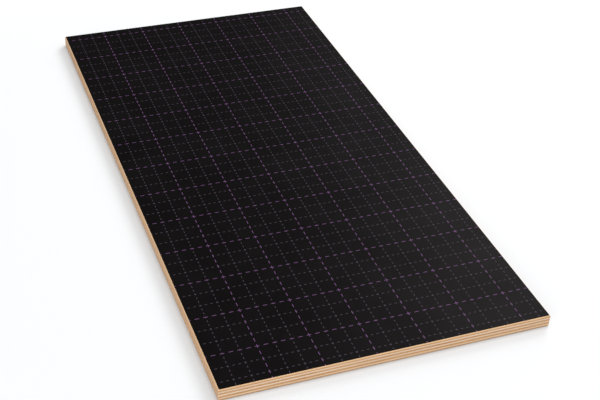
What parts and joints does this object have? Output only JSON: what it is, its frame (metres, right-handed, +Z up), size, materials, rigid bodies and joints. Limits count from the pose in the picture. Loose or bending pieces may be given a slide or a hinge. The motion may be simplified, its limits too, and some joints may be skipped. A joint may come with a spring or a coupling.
{
  "type": "plywood sheet",
  "caption": "Flat film-faced plywood sheet of cross-laminated veneers with a dark printed-grid film on the face, sawn edges and an eased top arris.",
  "frame": {"origin": "centre of the back face, which rests on the floor", "axes": "+Y along the sheet's length, +X across its width, +Z up through its thickness towards the film"},
  "size_m": [0.61, 1.22, 0.024],
  "materials": {
    "film": "near-black satin resin film with a dashed lilac grid print",
    "face_wood": "sawn veneer edge, bright on the planed bevel",
    "long_grain_wood": "sawn veneer edge, tan",
    "cross_grain_wood": "sawn veneer edge, pale",
    "back_wood": "sanded rotary-cut veneer"
  },
  "bodies": {
    "root": {"face_film": "film", "face_veneer": "face_wood", "crossband_upper": "cross_grain_wood", "inner_ply_upper": "long_grain_wood", "core_ply": "cross_grain_wood", "inner_ply_lower": "long_grain_wood", "crossband_lower": "cross_grain_wood", "back_veneer": "back_wood"}
  },
  "joints": []
}
